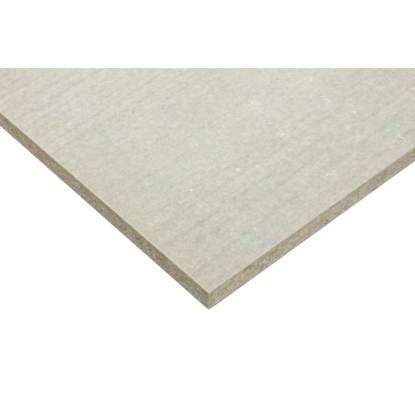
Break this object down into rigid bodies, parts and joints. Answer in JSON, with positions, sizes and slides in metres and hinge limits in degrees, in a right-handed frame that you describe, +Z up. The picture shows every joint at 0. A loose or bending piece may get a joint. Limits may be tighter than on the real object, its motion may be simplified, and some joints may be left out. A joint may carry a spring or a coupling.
{
  "type": "cement-bonded particle board",
  "caption": "Flat rectangular sheet of pressed wood particles in cement, with smooth pale faces, square sawn edges and lightly worn arrises, for lining, decking or sheathing.",
  "frame": {"origin": "centre of the underside, the face that rests on the floor", "axes": "+X along the length of the sheet, +Y across its width, +Z up through its thickness"},
  "size_m": [1.2, 0.6, 0.012],
  "materials": {
    "cement_board": "matte"
  },
  "bodies": {
    "root": {"cement_particle_board": "cement_board"}
  },
  "joints": []
}
